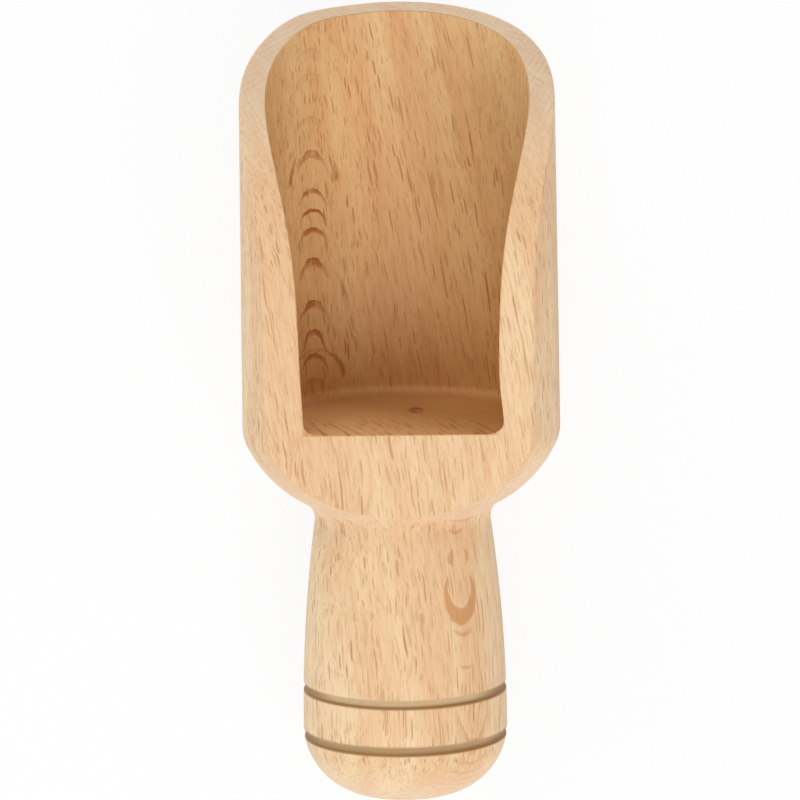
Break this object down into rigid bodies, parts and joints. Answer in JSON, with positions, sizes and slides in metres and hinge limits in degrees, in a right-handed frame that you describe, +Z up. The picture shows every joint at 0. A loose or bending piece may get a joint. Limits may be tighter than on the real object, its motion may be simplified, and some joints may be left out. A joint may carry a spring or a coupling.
{
  "type": "measuring scoop",
  "caption": "Turned beech measuring scoop: deep round bowl, its front cut away in a level face that sweeps up to the lip, on a short stout handle with burnt grooves.",
  "frame": {"origin": "on the ground, under the middle of the scoop as it lies on its back, on its shoulder and butt", "axes": "+Z up, out of the open front; +Y towards the mouth; the scoop is the same on both sides of X = 0; its lathe axis rises towards the mouth by about 10.4 degrees"},
  "size_m": [0.045, 0.114, 0.038],
  "materials": {
    "beech": "bare steamed beech, turned and sanded, with ray flecks and end grain at the rim",
    "burnt_beech": "wood browned by friction, matt"
  },
  "bodies": {
    "root": {"scoop_body": "beech", "burnt_ring_lower": "burnt_beech", "burnt_ring_upper": "burnt_beech"}
  },
  "joints": []
}
